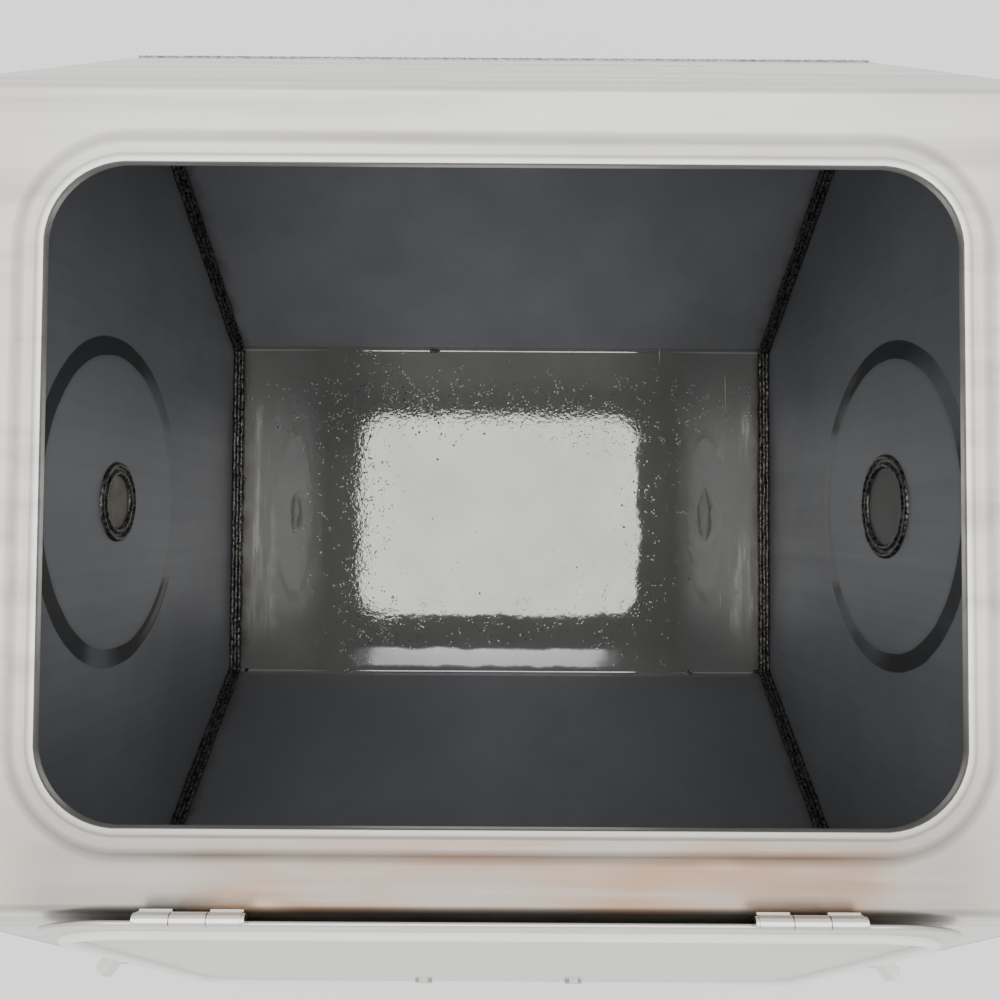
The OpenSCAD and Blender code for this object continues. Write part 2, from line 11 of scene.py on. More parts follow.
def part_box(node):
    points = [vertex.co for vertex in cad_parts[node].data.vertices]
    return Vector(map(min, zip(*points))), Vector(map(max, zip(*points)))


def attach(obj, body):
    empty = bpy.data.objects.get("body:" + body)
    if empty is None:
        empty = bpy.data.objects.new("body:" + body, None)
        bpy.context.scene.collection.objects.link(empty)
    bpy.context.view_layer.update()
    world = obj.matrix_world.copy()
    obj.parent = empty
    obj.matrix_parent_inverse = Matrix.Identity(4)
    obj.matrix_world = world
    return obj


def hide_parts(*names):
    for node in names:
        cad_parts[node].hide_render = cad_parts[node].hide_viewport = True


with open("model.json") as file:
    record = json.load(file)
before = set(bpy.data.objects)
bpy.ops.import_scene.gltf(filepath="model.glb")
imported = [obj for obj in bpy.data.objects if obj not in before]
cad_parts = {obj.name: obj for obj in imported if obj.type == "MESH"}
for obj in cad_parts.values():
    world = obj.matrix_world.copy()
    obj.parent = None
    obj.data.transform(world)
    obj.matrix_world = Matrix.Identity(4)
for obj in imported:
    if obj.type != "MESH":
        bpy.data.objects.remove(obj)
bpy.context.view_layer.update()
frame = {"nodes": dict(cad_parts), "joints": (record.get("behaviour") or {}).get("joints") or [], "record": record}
NODES = frame["nodes"]

bl_info = {
    "name": "Tilting Milk Tank",
    "version": (1, 0, 0),
    "blender": (4, 5, 0),
    "location": "View3D > Sidebar > Milk Tank",
    "description": "Finishes a tilting stainless milk tank around its packed model",
    "category": "Object",
}

# ---------- places that come from the frame ----------

SAME_PLACE = 1e-5                                       # metres within which two coordinates count as one


def outline(node):
    """The (y, z) corners of a node that runs straight along X, lowest first."""
    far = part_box(node)[1].x
    return sorted({(round(v.co.y, 6), round(v.co.z, 6)) for v in NODES[node].data.vertices
                   if abs(v.co.x - far) < SAME_PLACE}, key=lambda p: (p[1], p[0]))


AXIS_Z = (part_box("bearing_outer_rings")[0].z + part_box("bearing_outer_rings")[1].z) / 2
END_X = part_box("lower_trough")[1].x                     # inside face of an end plate
PLATE_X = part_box("end_plate_right")[1].x                # its outside face
TROUGH = outline("lower_trough")
HOOD = outline("upper_hood")
TOP_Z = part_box("upper_hood")[1].z
FOLD_Y = max(y for y, z in HOOD if abs(z - TOP_Z) < SAME_PLACE)
WAIST = max(TROUGH)                                     # outside corner at the side folds
FLOOR_Z = TROUGH[2][1]
FLOOR_Y = max(y for y, z in TROUGH if abs(z - FLOOR_Z) < SAME_PLACE)
WAIST_IN = max(p for p in TROUGH if p[0] < WAIST[0] - 1e-4)
TOP_IN_Z = max(z for y, z in HOOD if z < TOP_Z - 1e-4)
TOP_IN_Y = max(y for y, z in HOOD if abs(z - TOP_IN_Z) < SAME_PLACE)
LIP_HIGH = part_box("mouth_lip")[1]
LAND_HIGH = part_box("mouth_land")[1]
LAND_W = LAND_HIGH.x - LIP_HIGH.x                       # width of the land beyond the lip
LIP_W = 0.0035                                          # width of the lip
BODY_OF = {node: body for body, nodes in frame["record"]["behaviour"]["bodies"].items() for node in nodes}
SUBPARTS = {row["node"]: row for row in frame["record"]["subparts"]}
LEGS = ("leg_front_left", "leg_front_right", "leg_back_left", "leg_back_right")
SOFTENED = (                                            # part, its finish, width of its broken edges
    ("end_plate_left", "end_sheet", 0.0008), ("end_plate_right", "end_sheet", 0.0008),
    ("lid_panel", "outer_sheet", 0.0008), ("top_plate_left", "polished_steel", 0.0015),
    ("top_plate_right", "polished_steel", 0.0015), ("bearing_housing_left", "housing_iron", 0.0022),
    ("bearing_housing_right", "housing_iron", 0.0022), ("brake_block", "housing_iron", 0.0016),
    ("clamp_lever_left", "polished_steel", 0.0006), ("clamp_lever_right", "polished_steel", 0.0006),
    ("clamp_catches", "polished_steel", 0.0004), ("clamp_ears", "polished_steel", 0.0004),
    ("hinge_leaves", "polished_steel", 0.0003), ("leg_caps", "polished_steel", 0.0008),
    ("foot_pads", "polished_steel", 0.0008), ("trunnion_flange_left", "polished_steel", 0.0006),
    ("trunnion_flange_right", "polished_steel", 0.0006),
)
PORT_WELD_W = 0.008                                     # from a spigot's wall to the edge of its weld
SIDES = (("right", 1), ("left", -1))
SPIGOT_R = {side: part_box("port_weld_" + name)[1].y - PORT_WELD_W for name, side in SIDES}
SHARP = math.radians(40)                                # an edge sharper than this is broken or rounded
TUBE_CORNER = 0.0035                                    # outside corner radius of the stand's tube
BEAD_ANGLE = math.radians(80)                           # beads and drops are smooth all over


class TankSizes(bpy.types.PropertyGroup):
    """Sizes and finishes that a user would change."""
    bend_radius: bpy.props.FloatProperty(
        name="Bend radius", description="Outside radius of the folds in the sheet", default=0.005,
        min=0.003, max=0.02, unit="LENGTH")
    mouth_radius: bpy.props.FloatProperty(
        name="Opening radius", description="Corner radius of the opening", default=0.036,
        min=0.01, max=0.1, unit="LENGTH")
    bead_lump: bpy.props.FloatProperty(
        name="Weld unevenness", description="How far the weld beads wander", default=0.0006,
        min=0.0, max=0.003, unit="LENGTH")
    drops: bpy.props.IntProperty(
        name="Drops", description="Number of drops of water left on the floor", default=420,
        min=0, max=2000)
    camera_height: bpy.props.FloatProperty(
        name="Camera height", description="Height of the camera above the trunnion axis", default=0.5685,
        min=0.4, max=3.0, unit="LENGTH")
    camera_lens: bpy.props.FloatProperty(
        name="Lens", description="Focal length of the camera, in millimetres", default=31.4,
        min=20.0, max=85.0)
    outside_tint: bpy.props.FloatVectorProperty(
        name="Outside steel", description="Colour of the brushed outside sheet",
        default=(0.78, 0.765, 0.73), min=0.0, max=1.0, subtype="COLOR", size=3)
    inside_tint: bpy.props.FloatVectorProperty(
        name="Inside steel", description="Colour of the dull sheet inside the vessel",
        default=(0.272, 0.278, 0.298), min=0.0, max=1.0, subtype="COLOR", size=3)


# ---------- materials ----------

def linear(r, g, b):
    """A display colour, 0 to 255, as the linear colour that a shader takes."""
    def channel(c):
        c = c / 255
        return c / 12.92 if c <= 0.04045 else ((c + 0.055) / 1.055) ** 2.4
    return (channel(r), channel(g), channel(b), 1.0)


def shaded(colour, share):
    """A colour made darker or lighter."""
    return tuple(min(c * share, 1.0) for c in colour[:3]) + (1.0,)


CREAM, STRAW, BROWN = linear(232, 224, 204), linear(236, 216, 186), linear(164, 132, 108)
# the first is the colour of the painted shade at the front of the top panel, the second of its painted glare
FRONT_SHADE_STEEL, GLARE, TUBE_GREY = linear(142, 136, 126), linear(246, 246, 244), linear(184, 184, 182)
HEAT_TINT = linear(82, 66, 54)
DULL_METALLIC = 0.35                                    # share of metal in a dull, used sheet
# where the top panel's end, front and back strips begin and are full
TOP_ENDS, TOP_FRONT, TOP_BACK = (0.19, 0.225), (-0.142, -0.152), (0.15, 0.158)
RING_SHADE, RING_GLINT = (0.0955, 0.106), (0.1, 0.105)   # inner and outer radius of the painted shade ring and of the painted glint on an end plate


class Shader:
    """A material under construction: makes nodes and joins them."""

    def __init__(self, name):
        self.material = bpy.data.materials.new(name)
        self.material.use_nodes = True
        self.tree = self.material.node_tree
        self.bsdf = self.tree.nodes["Principled BSDF"]
        self.coords = self.tree.nodes.new("ShaderNodeTexCoord").outputs["Object"]
        self.x, self.y, self.z = self.node("ShaderNodeSeparateXYZ", {0: self.coords}).outputs

    def node(self, kind, inputs=None, **settings):
        made = self.tree.nodes.new(kind)
        for key, value in settings.items():
            setattr(made, key, value)
        for key, value in (inputs or {}).items():
            self.set(made.inputs[key], value)
        return made

    def set(self, socket, value):
        if isinstance(value, bpy.types.NodeSocket):
            self.tree.links.new(value, socket)
        else:
            socket.default_value = value

    def out(self, **values):
        """Sets the shader's own sockets: colour, metallic, roughness, normal."""
        names = {"colour": "Base Color", "metallic": "Metallic", "rough": "Roughness", "normal": "Normal"}
        for key, value in values.items():
            self.set(self.bsdf.inputs[names.get(key, key)], value)
        return self.material

    def math(self, operation, a, b=0.0, c=0.0):
        return self.node("ShaderNodeMath", {0: a, 1: b, 2: c}, operation=operation).outputs[0]

    def times(self, a, b):
        return self.math("MULTIPLY", a, b)

    def plus(self, a, b):
        return self.math("ADD", a, b)

    def times_plus(self, a, b, c):
        """a times b, and c added."""
        return self.math("MULTIPLY_ADD", a, b, c)

    def away(self, value):
        """How far a value lies from nought, on either side."""
        return self.math("ABSOLUTE", value)

    def most(self, a, b):
        return self.math("MAXIMUM", a, b)

    def ramp(self, value, low, high, to_low=0.0, to_high=1.0):
        """Eases from to_low to to_high as the value goes from low to high."""
        return self.node("ShaderNodeMapRange", {0: value, 1: low, 2: high, 3: to_low, 4: to_high},
                         interpolation_type="SMOOTHSTEP").outputs[0]

    def band(self, value, low, high, soft):
        """One between low and high, falling to nought over soft on both sides."""
        return self.times(self.ramp(value, low - soft, low), self.ramp(value, high, high + soft, 1.0, 0.0))

    def wander(self, scale, detail, reach):
        """Smooth noise about nought, for borders that run unevenly."""
        return self.times(self.math("SUBTRACT", self.noise(self.coords, scale, detail), 0.5), reach)

    def mix(self, factor, a, b):
        made = self.node("ShaderNodeMix", data_type="RGBA")
        self.set(made.inputs[0], factor)
        self.set(made.inputs[6], a)
        self.set(made.inputs[7], b)
        return made.outputs[2]

    def blend(self, factor, a, b):
        """A plain number between a and b."""
        made = self.node("ShaderNodeMix", data_type="FLOAT")
        self.set(made.inputs[0], factor)
        self.set(made.inputs[2], a)
        self.set(made.inputs[3], b)
        return made.outputs[0]

    def scaled(self, x, y, z, turn=0.0, shift=(0.0, 0.0, 0.0)):
        """Object coordinates scaled along each axis, so that noise becomes grain or streaks."""
        return self.node("ShaderNodeMapping", {"Vector": self.coords, "Scale": (x, y, z), "Location": shift,
                                               "Rotation": (0.0, 0.0, turn)}).outputs[0]

    def noise(self, vector, scale=1.0, detail=4.0, rough=0.5):
        return self.node("ShaderNodeTexNoise", {"Vector": vector, "Scale": scale, "Detail": detail,
                                                "Roughness": rough}).outputs[0]

    def bump(self, height, strength, distance=0.001, under=None):
        made = self.node("ShaderNodeBump", {"Height": height, "Strength": strength, "Distance": distance})
        if under is not None:
            self.set(made.inputs["Normal"], under)
        return made.outputs[0]


def brushed(name, colour, rough, grain=(4.0, 900.0, 900.0)):
    """Rolled or brushed stainless: long fine grain, slow ripples and faint stains."""
    s = Shader(name)
    lines = s.noise(s.scaled(*grain), 1.0, 6.0, 0.65)
    broad = s.noise(s.scaled(*(g * 0.12 for g in grain)), 1.0, 3.0, 0.5)
    cloud = s.noise(s.coords, 7.0, 4.0, 0.55)
    toned = s.mix(s.ramp(cloud, 0.3, 0.7), shaded(colour, 0.86), colour)
    streaked = s.mix(s.ramp(broad, 0.42, 0.7, 0.0, 0.5), toned, shaded(colour, 1.12))
    worn = s.times_plus(lines, 0.14, s.times_plus(cloud, 0.1, rough - 0.12))
    return s.out(colour=streaked, metallic=1.0, rough=worn,
                 normal=s.bump(lines, 0.12, 0.0003, s.bump(cloud, 0.08, 0.002)))


def top_sheet(name, colour):
    """Brushed top panel: grain along its length, cream ends, painted shade towards its front, soft brown
    reflections painted along its front and a painted glare along its back.
    """
    s = Shader(name)
    lines = s.noise(s.scaled(3.0, 800.0, 800.0), 1.0, 6.0, 0.65)
    broad = s.noise(s.scaled(2.5, 60.0, 60.0), 1.0, 3.0, 0.5)
    warm_reflections = s.noise(s.scaled(9.0, 26.0, 9.0, shift=(0.35, 0.0, 0.0)), 1.0, 2.0, 0.4)
    cloud = s.noise(s.coords, 6.0, 4.0, 0.55)
    level = s.ramp(s.z, TOP_Z - 0.012, TOP_Z - 0.004)
    now = s.mix(s.ramp(cloud, 0.3, 0.7), shaded(colour, 0.9), colour)
    # painted shade: the flat of the panel darkens towards its front
    now = s.mix(s.times(level, s.ramp(s.y, -0.06, -0.17, 0.0, 0.75)), now, FRONT_SHADE_STEEL)
    ends = s.times(level, s.ramp(s.away(s.x), *TOP_ENDS))
    now = s.mix(s.times(ends, 0.5), now, CREAM)
    uneven_x = s.times_plus(s.math("SUBTRACT", broad, 0.5), 0.03, s.x)
    # painted reflections: soft brown and straw patches along the front of the panel
    front = s.times(s.times(level, s.ramp(s.y, *TOP_FRONT)), s.band(uneven_x, -0.115, 0.15, 0.03))
    now = s.mix(s.times(front, s.ramp(warm_reflections, 0.36, 0.58, 0.25, 0.9)), now, BROWN)
    now = s.mix(s.times(front, s.ramp(warm_reflections, 0.56, 0.7, 0.0, 0.6)), now, STRAW)
    # painted highlight: a glare along the back of the panel
    back = s.times(s.times(level, s.ramp(s.y, *TOP_BACK)), s.band(s.x, 0.02, 0.14, 0.05))
    now = s.mix(s.times(back, s.ramp(broad, 0.45, 0.6)), now, GLARE)
    now = s.mix(s.ramp(broad, 0.42, 0.66, 0.0, 0.6), now, shaded(colour, 0.62))
    swell = s.bump(s.noise(s.coords, 4.0, 2.0), 0.25, 0.004)
    return s.out(colour=now, metallic=0.85, rough=s.times_plus(lines, 0.14, s.times_plus(cloud, 0.08, 0.3)),
                 normal=s.bump(lines, 0.12, 0.0003, swell))


def dull_base(s, colour, grain):
    """Cloudy rolled sheet: its colour, its roll marks and its normal."""
    cloud = s.noise(s.coords, 8.0, 5.0, 0.6)
    roll = s.noise(s.scaled(*grain), 1.0, 5.0, 0.6)
    base = s.mix(s.ramp(cloud, 0.3, 0.72), shaded(colour, 0.88), shaded(colour, 1.1))
    base = s.mix(s.ramp(roll, 0.4, 0.7, 0.0, 0.2), base, shaded(colour, 0.75))
    return base, roll, s.bump(cloud, 0.1, 0.002, s.bump(roll, 0.08, 0.0003))


def inner_sheet(name, colour):
    """Dull slate sheet under the hood: lighter at the back with painted light, darker towards the front with
    painted shade, heat-tinted at its ends.
    """
    s = Shader(name)
    now, roll, normal = dull_base(s, colour, (2.0, 200.0, 200.0))
    # painted light: a lighter patch on the middle of the back
    daylight = s.times(s.ramp(s.y, 0.1, 0.24), s.band(s.x, -0.12, 0.12, 0.12))
    now = s.mix(s.times(daylight, 0.35), now, shaded(colour, 1.5))
    # painted shade: darker towards the front
    now = s.mix(s.ramp(s.y, 0.05, -0.2, 0.0, 0.3), now, linear(84, 84, 86))
    heat = s.ramp(s.away(s.plus(s.x, s.wander(30.0, 3.0, 0.02))), 0.232, 0.246)
    now = s.mix(s.times(heat, 0.45), now, HEAT_TINT)
    return s.out(colour=now, metallic=DULL_METALLIC, rough=s.times_plus(roll, 0.1, 0.5), normal=normal)


def end_sheet(name, colour):
    """End plate: dull inside, with a painted ring of shade and a painted glint below it round the disc that is
    welded outside; bright outside.
    """
    s = Shader(name)
    now, roll, normal = dull_base(s, colour, (160.0, 160.0, 3.0))
    wander = s.wander(30.0, 3.0, 0.02)
    patchy = s.noise(s.coords, 9.0, 2.0, 0.4)
    up = s.math("SUBTRACT", s.z, AXIS_Z)
    radius = s.plus(s.math("SQRT", s.plus(s.times(s.y, s.y), s.times(up, up))), s.times(wander, 0.12))
    away_from_foot = s.most(s.ramp(s.away(s.y), 0.05, 0.062), s.ramp(up, 0.02, 0.04))
    # painted shade: a dark ring round the welded disc, left out at its foot
    dark = s.times(s.band(radius, *RING_SHADE, 0.0012), away_from_foot)
    # painted highlight: a glint along the lower side of the ring
    light = s.times(s.band(radius, *RING_GLINT, 0.001), s.ramp(up, -0.03, -0.06))
    now = s.mix(s.times(dark, s.ramp(patchy, 0.35, 0.5, 0.25, 0.85)), now, linear(30, 31, 34))
    now = s.mix(s.times(light, s.ramp(patchy, 0.42, 0.6, 0.0, 0.6)), now, linear(150, 150, 146))
    now = s.mix(s.ramp(radius, 0.094, 0.0905, 0.0, 0.25), now, shaded(colour, 1.35))
    now = s.mix(s.times(s.ramp(s.away(s.plus(s.y, wander)), 0.28, 0.3), 0.3), now, HEAT_TINT)
    outside = s.ramp(s.away(s.x), END_X + 0.0006, END_X + 0.0012)
    rough = s.blend(outside, s.times_plus(roll, 0.1, 0.46), s.times_plus(roll, 0.12, 0.26))
    return s.out(colour=s.mix(outside, now, linear(214, 213, 210)), rough=rough, normal=normal,
                 metallic=s.blend(outside, DULL_METALLIC, 1.0))


def wet_floor(name, wall):
    """Trough sheet: dull on its slopes, with painted shade towards the front; on the floor wet and mirror-like,
    with a film pitted by drops and a painted highlight by its front edge.
    """
    s = Shader(name)
    cloud = s.noise(s.coords, 9.0, 5.0, 0.6)
    roll = s.noise(s.scaled(2.0, 220.0, 220.0), 1.0, 5.0, 0.6)
    wander = s.wander(45.0, 4.0, 0.03)
    uneven_x = s.plus(s.x, wander)
    floor = s.ramp(s.z, FLOOR_Z + 0.0042, FLOOR_Z + 0.0028)
    slope = s.mix(s.ramp(cloud, 0.3, 0.72), shaded(wall, 0.85), shaded(wall, 1.08))
    # painted shade: the slopes darker towards the front
    slope = s.mix(s.ramp(s.y, 0.16, -0.16, 0.0, 0.45), slope, linear(82, 82, 84))
    plate = s.mix(s.ramp(cloud, 0.25, 0.75), linear(154, 154, 151), linear(172, 171, 167))
    # milky run-marks near both ends
    streaks = s.noise(s.scaled(90.0, 7.0, 1.0, 0.0, (0.3, 0.0, 0.0)), 1.0, 3.0, 0.55)
    near_end = s.times(s.ramp(s.away(uneven_x), 0.205, 0.222), s.ramp(streaks, 0.45, 0.62))
    milky = s.times(near_end, s.ramp(s.away(s.plus(s.y, 0.01)), 0.12, 0.08))
    plate = s.mix(s.times(milky, 0.6), plate, linear(226, 226, 222))
    # scratches towards the right-hand end, in two directions
    cut = s.noise(s.scaled(520.0, 7.0, 1.0, 0.14, (3.7, 0.4, 0.0)), 1.0, 1.5, 0.4)
    crossing = s.noise(s.scaled(430.0, 6.0, 1.0, -0.32, (1.3, 2.9, 0.0)), 1.0, 1.5, 0.4)
    both_ways = s.most(s.ramp(cut, 0.775, 0.8), s.ramp(crossing, 0.79, 0.815))
    scratch = s.times(both_ways, s.ramp(s.x, 0.1, 0.17))
    plate = s.mix(s.times(scratch, 0.9), plate, linear(240, 240, 238))
    # painted highlight: a bright strip on the floor where it turns up into its front slope
    bend_highlight_y = s.band(s.times_plus(wander, 0.25, s.y), 0.008 - FLOOR_Y, 0.02 - FLOOR_Y, 0.004)
    bend_highlight = s.times(bend_highlight_y, s.band(uneven_x, -0.11, 0.085, 0.03))
    plate = s.mix(bend_highlight, plate, linear(250, 250, 250))
    heat = s.ramp(s.away(s.plus(s.x, s.times(wander, 0.7))), 0.232, 0.249)
    colour = s.mix(s.times(heat, 0.75), s.mix(floor, slope, plate), linear(92, 72, 56))
    smooth = s.plus(s.times_plus(cloud, 0.04, 0.02), s.times(milky, 0.35))
    rough = s.blend(floor, s.times_plus(roll, 0.1, 0.5), smooth)
    rough = s.plus(rough, s.times(s.most(scratch, bend_highlight), 0.3))
    # pits and ripples of the film, thickest along its left and back edges
    edge = s.most(s.band(uneven_x, -0.14, -0.1, 0.012), s.band(s.plus(s.y, wander), 0.075, 0.115, 0.012))
    cells = {"Vector": s.coords, "Scale": 420.0, "Randomness": 1.0}
    drop = s.ramp(s.node("ShaderNodeTexVoronoi", cells).outputs["Distance"], 0.34, 0.1)
    speck = s.times(drop, s.ramp(s.noise(s.coords, 130.0, 2.0), 0.52, 0.66))
    pits = s.times(speck, s.times_plus(edge, 0.85, 0.15))
    gentle = s.bump(s.noise(s.coords, 26.0, 3.0, 0.5), s.times(floor, 0.16), 0.0012)
    ripple = s.times(floor, s.times_plus(edge, 0.3, 0.06))
    rippled = s.bump(s.noise(s.coords, 300.0, 2.0), ripple, 0.0002, gentle)
    return s.out(colour=colour, metallic=s.blend(floor, DULL_METALLIC, 0.62), rough=rough,
                 normal=s.bump(s.times(pits, floor), 0.9, 0.0004, rippled))


def shaft_steel(name):
    """Ground shaft, dull and faintly straw-coloured where its end faces the inside of the vessel."""
    s = Shader(name)
    lines = s.noise(s.scaled(700.0, 30.0, 30.0), 1.0, 4.0, 0.6)
    inside = s.ramp(s.away(s.x), END_X + 0.0012, END_X + 0.0006)
    straw = s.mix(s.ramp(s.x, -0.1, 0.1), linear(120, 118, 104), linear(78, 80, 82))
    dull = s.mix(s.ramp(s.noise(s.coords, 60.0, 3.0), 0.3, 0.7), shaded(linear(92, 92, 90), 0.8), straw)
    return s.out(colour=s.mix(inside, linear(216, 217, 219), dull), metallic=s.blend(inside, 1.0, 0.3),
                 rough=s.times_plus(inside, 0.25, s.times_plus(lines, 0.1, 0.14)),
                 normal=s.bump(lines, 0.1, 0.0003))


def bead(name, dark, light):
    """Unworked weld: scaled ripples, blackened in its hollows, browned where it ran hot."""
    s = Shader(name)
    scale = s.noise(s.coords, 420.0, 4.0, 0.65)
    hot = s.noise(s.coords, 60.0, 3.0, 0.5)
    colour = s.mix(s.ramp(scale, 0.35, 0.7), dark, light)
    return s.out(colour=s.mix(s.ramp(hot, 0.55, 0.75, 0.0, 0.5), colour, linear(58, 48, 44)), metallic=0.8,
                 rough=s.times_plus(scale, 0.25, 0.22), normal=s.bump(scale, 0.6, 0.0006))


def plain(name, colour, rough, metallic=0.0, scale=300.0, depth=0.2, change=0.78):
    """A surface with fine tooth and slow colour change: rubber, plastic, castings and small steel."""
    s = Shader(name)
    tooth = s.noise(s.coords, scale, 4.0, 0.6)
    cloud = s.noise(s.coords, 18.0, 3.0, 0.5)
    return s.out(colour=s.mix(cloud, shaded(colour, change), colour), metallic=metallic,
                 rough=s.times_plus(tooth, 0.16, s.times_plus(cloud, 0.06, rough - 0.11)),
                 normal=s.bump(tooth, depth, 0.0003))


MADE = {}


def finish(name):
    """The finish of that name, made once."""
    if name not in MADE:
        sizes = bpy.context.scene.milk_tank
        outside, inside = tuple(sizes.outside_tint) + (1.0,), tuple(sizes.inside_tint) + (1.0,)
        maker, *values = {
            "top_sheet": (top_sheet, outside),
            "outer_sheet": (brushed, shaded(outside, 0.82), 0.3),
            "inner_sheet": (inner_sheet, inside),
            "end_sheet": (end_sheet, inside),
            "wet_floor": (wet_floor, inside),
            "black_weld": (bead, linear(22, 22, 23), linear(140, 137, 133)),
            "grey_weld": (bead, linear(120, 116, 110), linear(186, 184, 180)),
            "polished_steel": (brushed, linear(222, 220, 216), 0.2, (90.0, 90.0, 900.0)),
            "stand_tube": (brushed, TUBE_GREY, 0.3, (500.0, 500.0, 14.0)),
            "rail_tube": (brushed, TUBE_GREY, 0.3, (8.0, 500.0, 500.0)),
            "side_tube": (brushed, TUBE_GREY, 0.3, (500.0, 8.0, 500.0)),
            "shaft_steel": (shaft_steel,),
            "bearing_steel": (plain, linear(216, 218, 221), 0.2, 1.0, 700.0, 0.05),
            "housing_iron": (plain, linear(84, 90, 98), 0.55, 0.0, 420.0, 0.55),
            "wheel_casting": (plain, linear(214, 215, 217), 0.3, 1.0, 500.0, 0.12, 0.9),
            "zinc_fasteners": (plain, linear(188, 187, 182), 0.34, 1.0, 500.0, 0.1),
            "black_rubber": (plain, linear(40, 40, 41), 0.75, 0.0, 900.0, 0.3),
            "white_gasket": (plain, linear(240, 239, 234), 0.45, 0.0, 900.0, 0.06, 0.95),
            "black_plastic": (plain, linear(28, 28, 30), 0.42, 0.0, 1100.0, 0.25),
            "water": (plain, linear(70, 72, 74), 0.12, 0.0, 60.0, 0.0, 0.9),
        }[name]
        MADE[name] = maker(name, *values)
    return MADE[name]


# ---------- making pieces ----------

def piece(bm, name, finishes, body, replaces=(), angle=math.radians(35), thickness=0.0):
    """Ends a bmesh as a piece that rides on a body. A surface is given its thickness as well."""
    mesh = bpy.data.meshes.new(name)
    bm.to_mesh(mesh)
    bm.free()
    mesh.shade_smooth()
    mesh.set_sharp_from_angle(angle=angle)
    made = bpy.data.objects.new(name, mesh)
    bpy.context.scene.collection.objects.link(made)
    for each in finishes:
        mesh.materials.append(finish(each))
    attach(made, body)
    if replaces:
        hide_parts(*replaces)
    if thickness:
        wall(made, thickness)
    else:
        flatten(made)


def flatten(made):
    """Shades by the larger faces, so that flats look flat and only bends and broken edges look round."""
    weighted = made.modifiers.new("weighted", "WEIGHTED_NORMAL")
    weighted.keep_sharp = True
    weighted.weight = 80


def wall(made, thickness):
    """Gives a surface its sheet thickness, inwards, with the second finish on the inside."""
    solid = made.modifiers.new("wall", "SOLIDIFY")
    solid.thickness = thickness
    solid.offset = -1.0
    solid.material_offset = 1
    flatten(made)


def face_up(bm, probe):
    """Turns every face so that the one nearest the probe points away from the trunnion axis."""
    bmesh.ops.recalc_face_normals(bm, faces=bm.faces)
    near = min(bm.faces, key=lambda f: (f.calc_center_median() - probe).length)
    if near.normal.dot(near.calc_center_median() - Vector((0.0, 0.0, AXIS_Z))) < 0:
        bmesh.ops.reverse_faces(bm, faces=bm.faces)


def ring_surface(bm, hx, hy, r, profile, steps=13):
    """A rounded rectangle drawn once, then carried along a profile of points (distance out, height).
    Gives the edges of its first loop and of its last."""
    half_step = Matrix.Rotation(math.pi / (4 * steps), 4, "Z")
    start, height = profile[0]
    verts = bmesh.ops.create_circle(bm, segments=4 * steps, radius=r + start, matrix=half_step)["verts"]
    for v in verts:
        v.co = (*(v.co.xy + corner_centre(v, hx - r, hy - r)), height)
    first = loop = list({e for v in verts for e in v.link_edges})
    for out, z in profile[1:]:
        loop, verts = next_loop(bm, loop)
        for v in verts:
            centre = corner_centre(v, hx - r, hy - r)
            v.co = (*(centre + (v.co.xy - centre).normalized() * (r + out)), z)
    return first, loop


def corner_centre(v, x, y):
    """The centre of the rounded corner, at x and y, in the quarter where a vertex lies."""
    return Vector((math.copysign(x, v.co.x), math.copysign(y, v.co.y)))


def next_loop(bm, edges):
    """Extrudes a run of edges and gives the new edges and their vertices."""
    made = bmesh.ops.extrude_edge_only(bm, edges=edges)["geom"]
    return ([g for g in made if isinstance(g, bmesh.types.BMEdge)],
            [g for g in made if isinstance(g, bmesh.types.BMVert)])


def fold(bm, edges, centre, angle, run):
    """Bends the sheet on from some edges, then carries it straight on by run."""
    verts = list({v for e in edges for v in e.verts})
    bent = bmesh.ops.spin(bm, geom=verts + edges, cent=centre, axis=(1.0, 0.0, 0.0), angle=angle, steps=7,
                          dvec=(0.0, 0.0, 0.0), use_merge=False)["geom_last"]
    verts = next_loop(bm, [g for g in bent if isinstance(g, bmesh.types.BMEdge)])[1]
    bmesh.ops.translate(bm, verts=verts, vec=run)


def clean_copy(node):
    """A bmesh of a CAD part, with the triangles of its flats joined."""
    bm = bmesh.new()
    bm.from_mesh(NODES[node].data)
    bmesh.ops.remove_doubles(bm, verts=bm.verts, dist=2e-6)
    bmesh.ops.dissolve_limit(bm, angle_limit=math.radians(0.4), verts=bm.verts, edges=bm.edges)
    return bm


def soften(node, finish_name, width):
    """A CAD part with its sharp edges broken, standing for the part itself."""
    bm = clean_copy(node)
    sharp = [e for e in bm.edges if len(e.link_faces) == 2 and e.calc_face_angle() > SHARP]
    bmesh.ops.bevel(bm, geom=sharp, offset=width, offset_type="OFFSET", affect="EDGES", segments=2,
                    profile=0.5, material=-1, clamp_overlap=True)
    bmesh.ops.triangulate(bm, faces=[f for f in bm.faces if len(f.verts) > 4])
    piece(bm, node + "_finished", [finish_name], BODY_OF[node], [node])


def rounded_tube(node, finish_name, across):
    """A square tube with the long outside edges of its wall rounded; across is the axis its walls face."""
    sides = [corner[across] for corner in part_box(node)]
    bm = clean_copy(node)
    long = [e for e in bm.edges if e.calc_length() > 0.1 and e.calc_face_angle(0.0) > SHARP and
            all(min(abs(v.co[across] - side) for side in sides) < SAME_PLACE for v in e.verts)]
    bmesh.ops.bevel(bm, geom=long, offset=TUBE_CORNER, affect="EDGES", segments=4, profile=0.5, material=-1)
    piece(bm, node + "_tube", [finish_name], BODY_OF[node], [node], math.radians(50))


def inset(points, by):
    """The corners of an anticlockwise outline moved inwards."""
    moved = []
    for i, here in enumerate(points):
        here = Vector(here)
        before = (here - Vector(points[i - 1])).normalized()
        after = (Vector(points[(i + 1) % len(points)]) - here).normalized()
        a, b = Vector((-before.y, before.x)), Vector((-after.y, after.x))
        moved.append(tuple(here + (a + b) * (by / (1 + a.dot(b)))))
    return moved


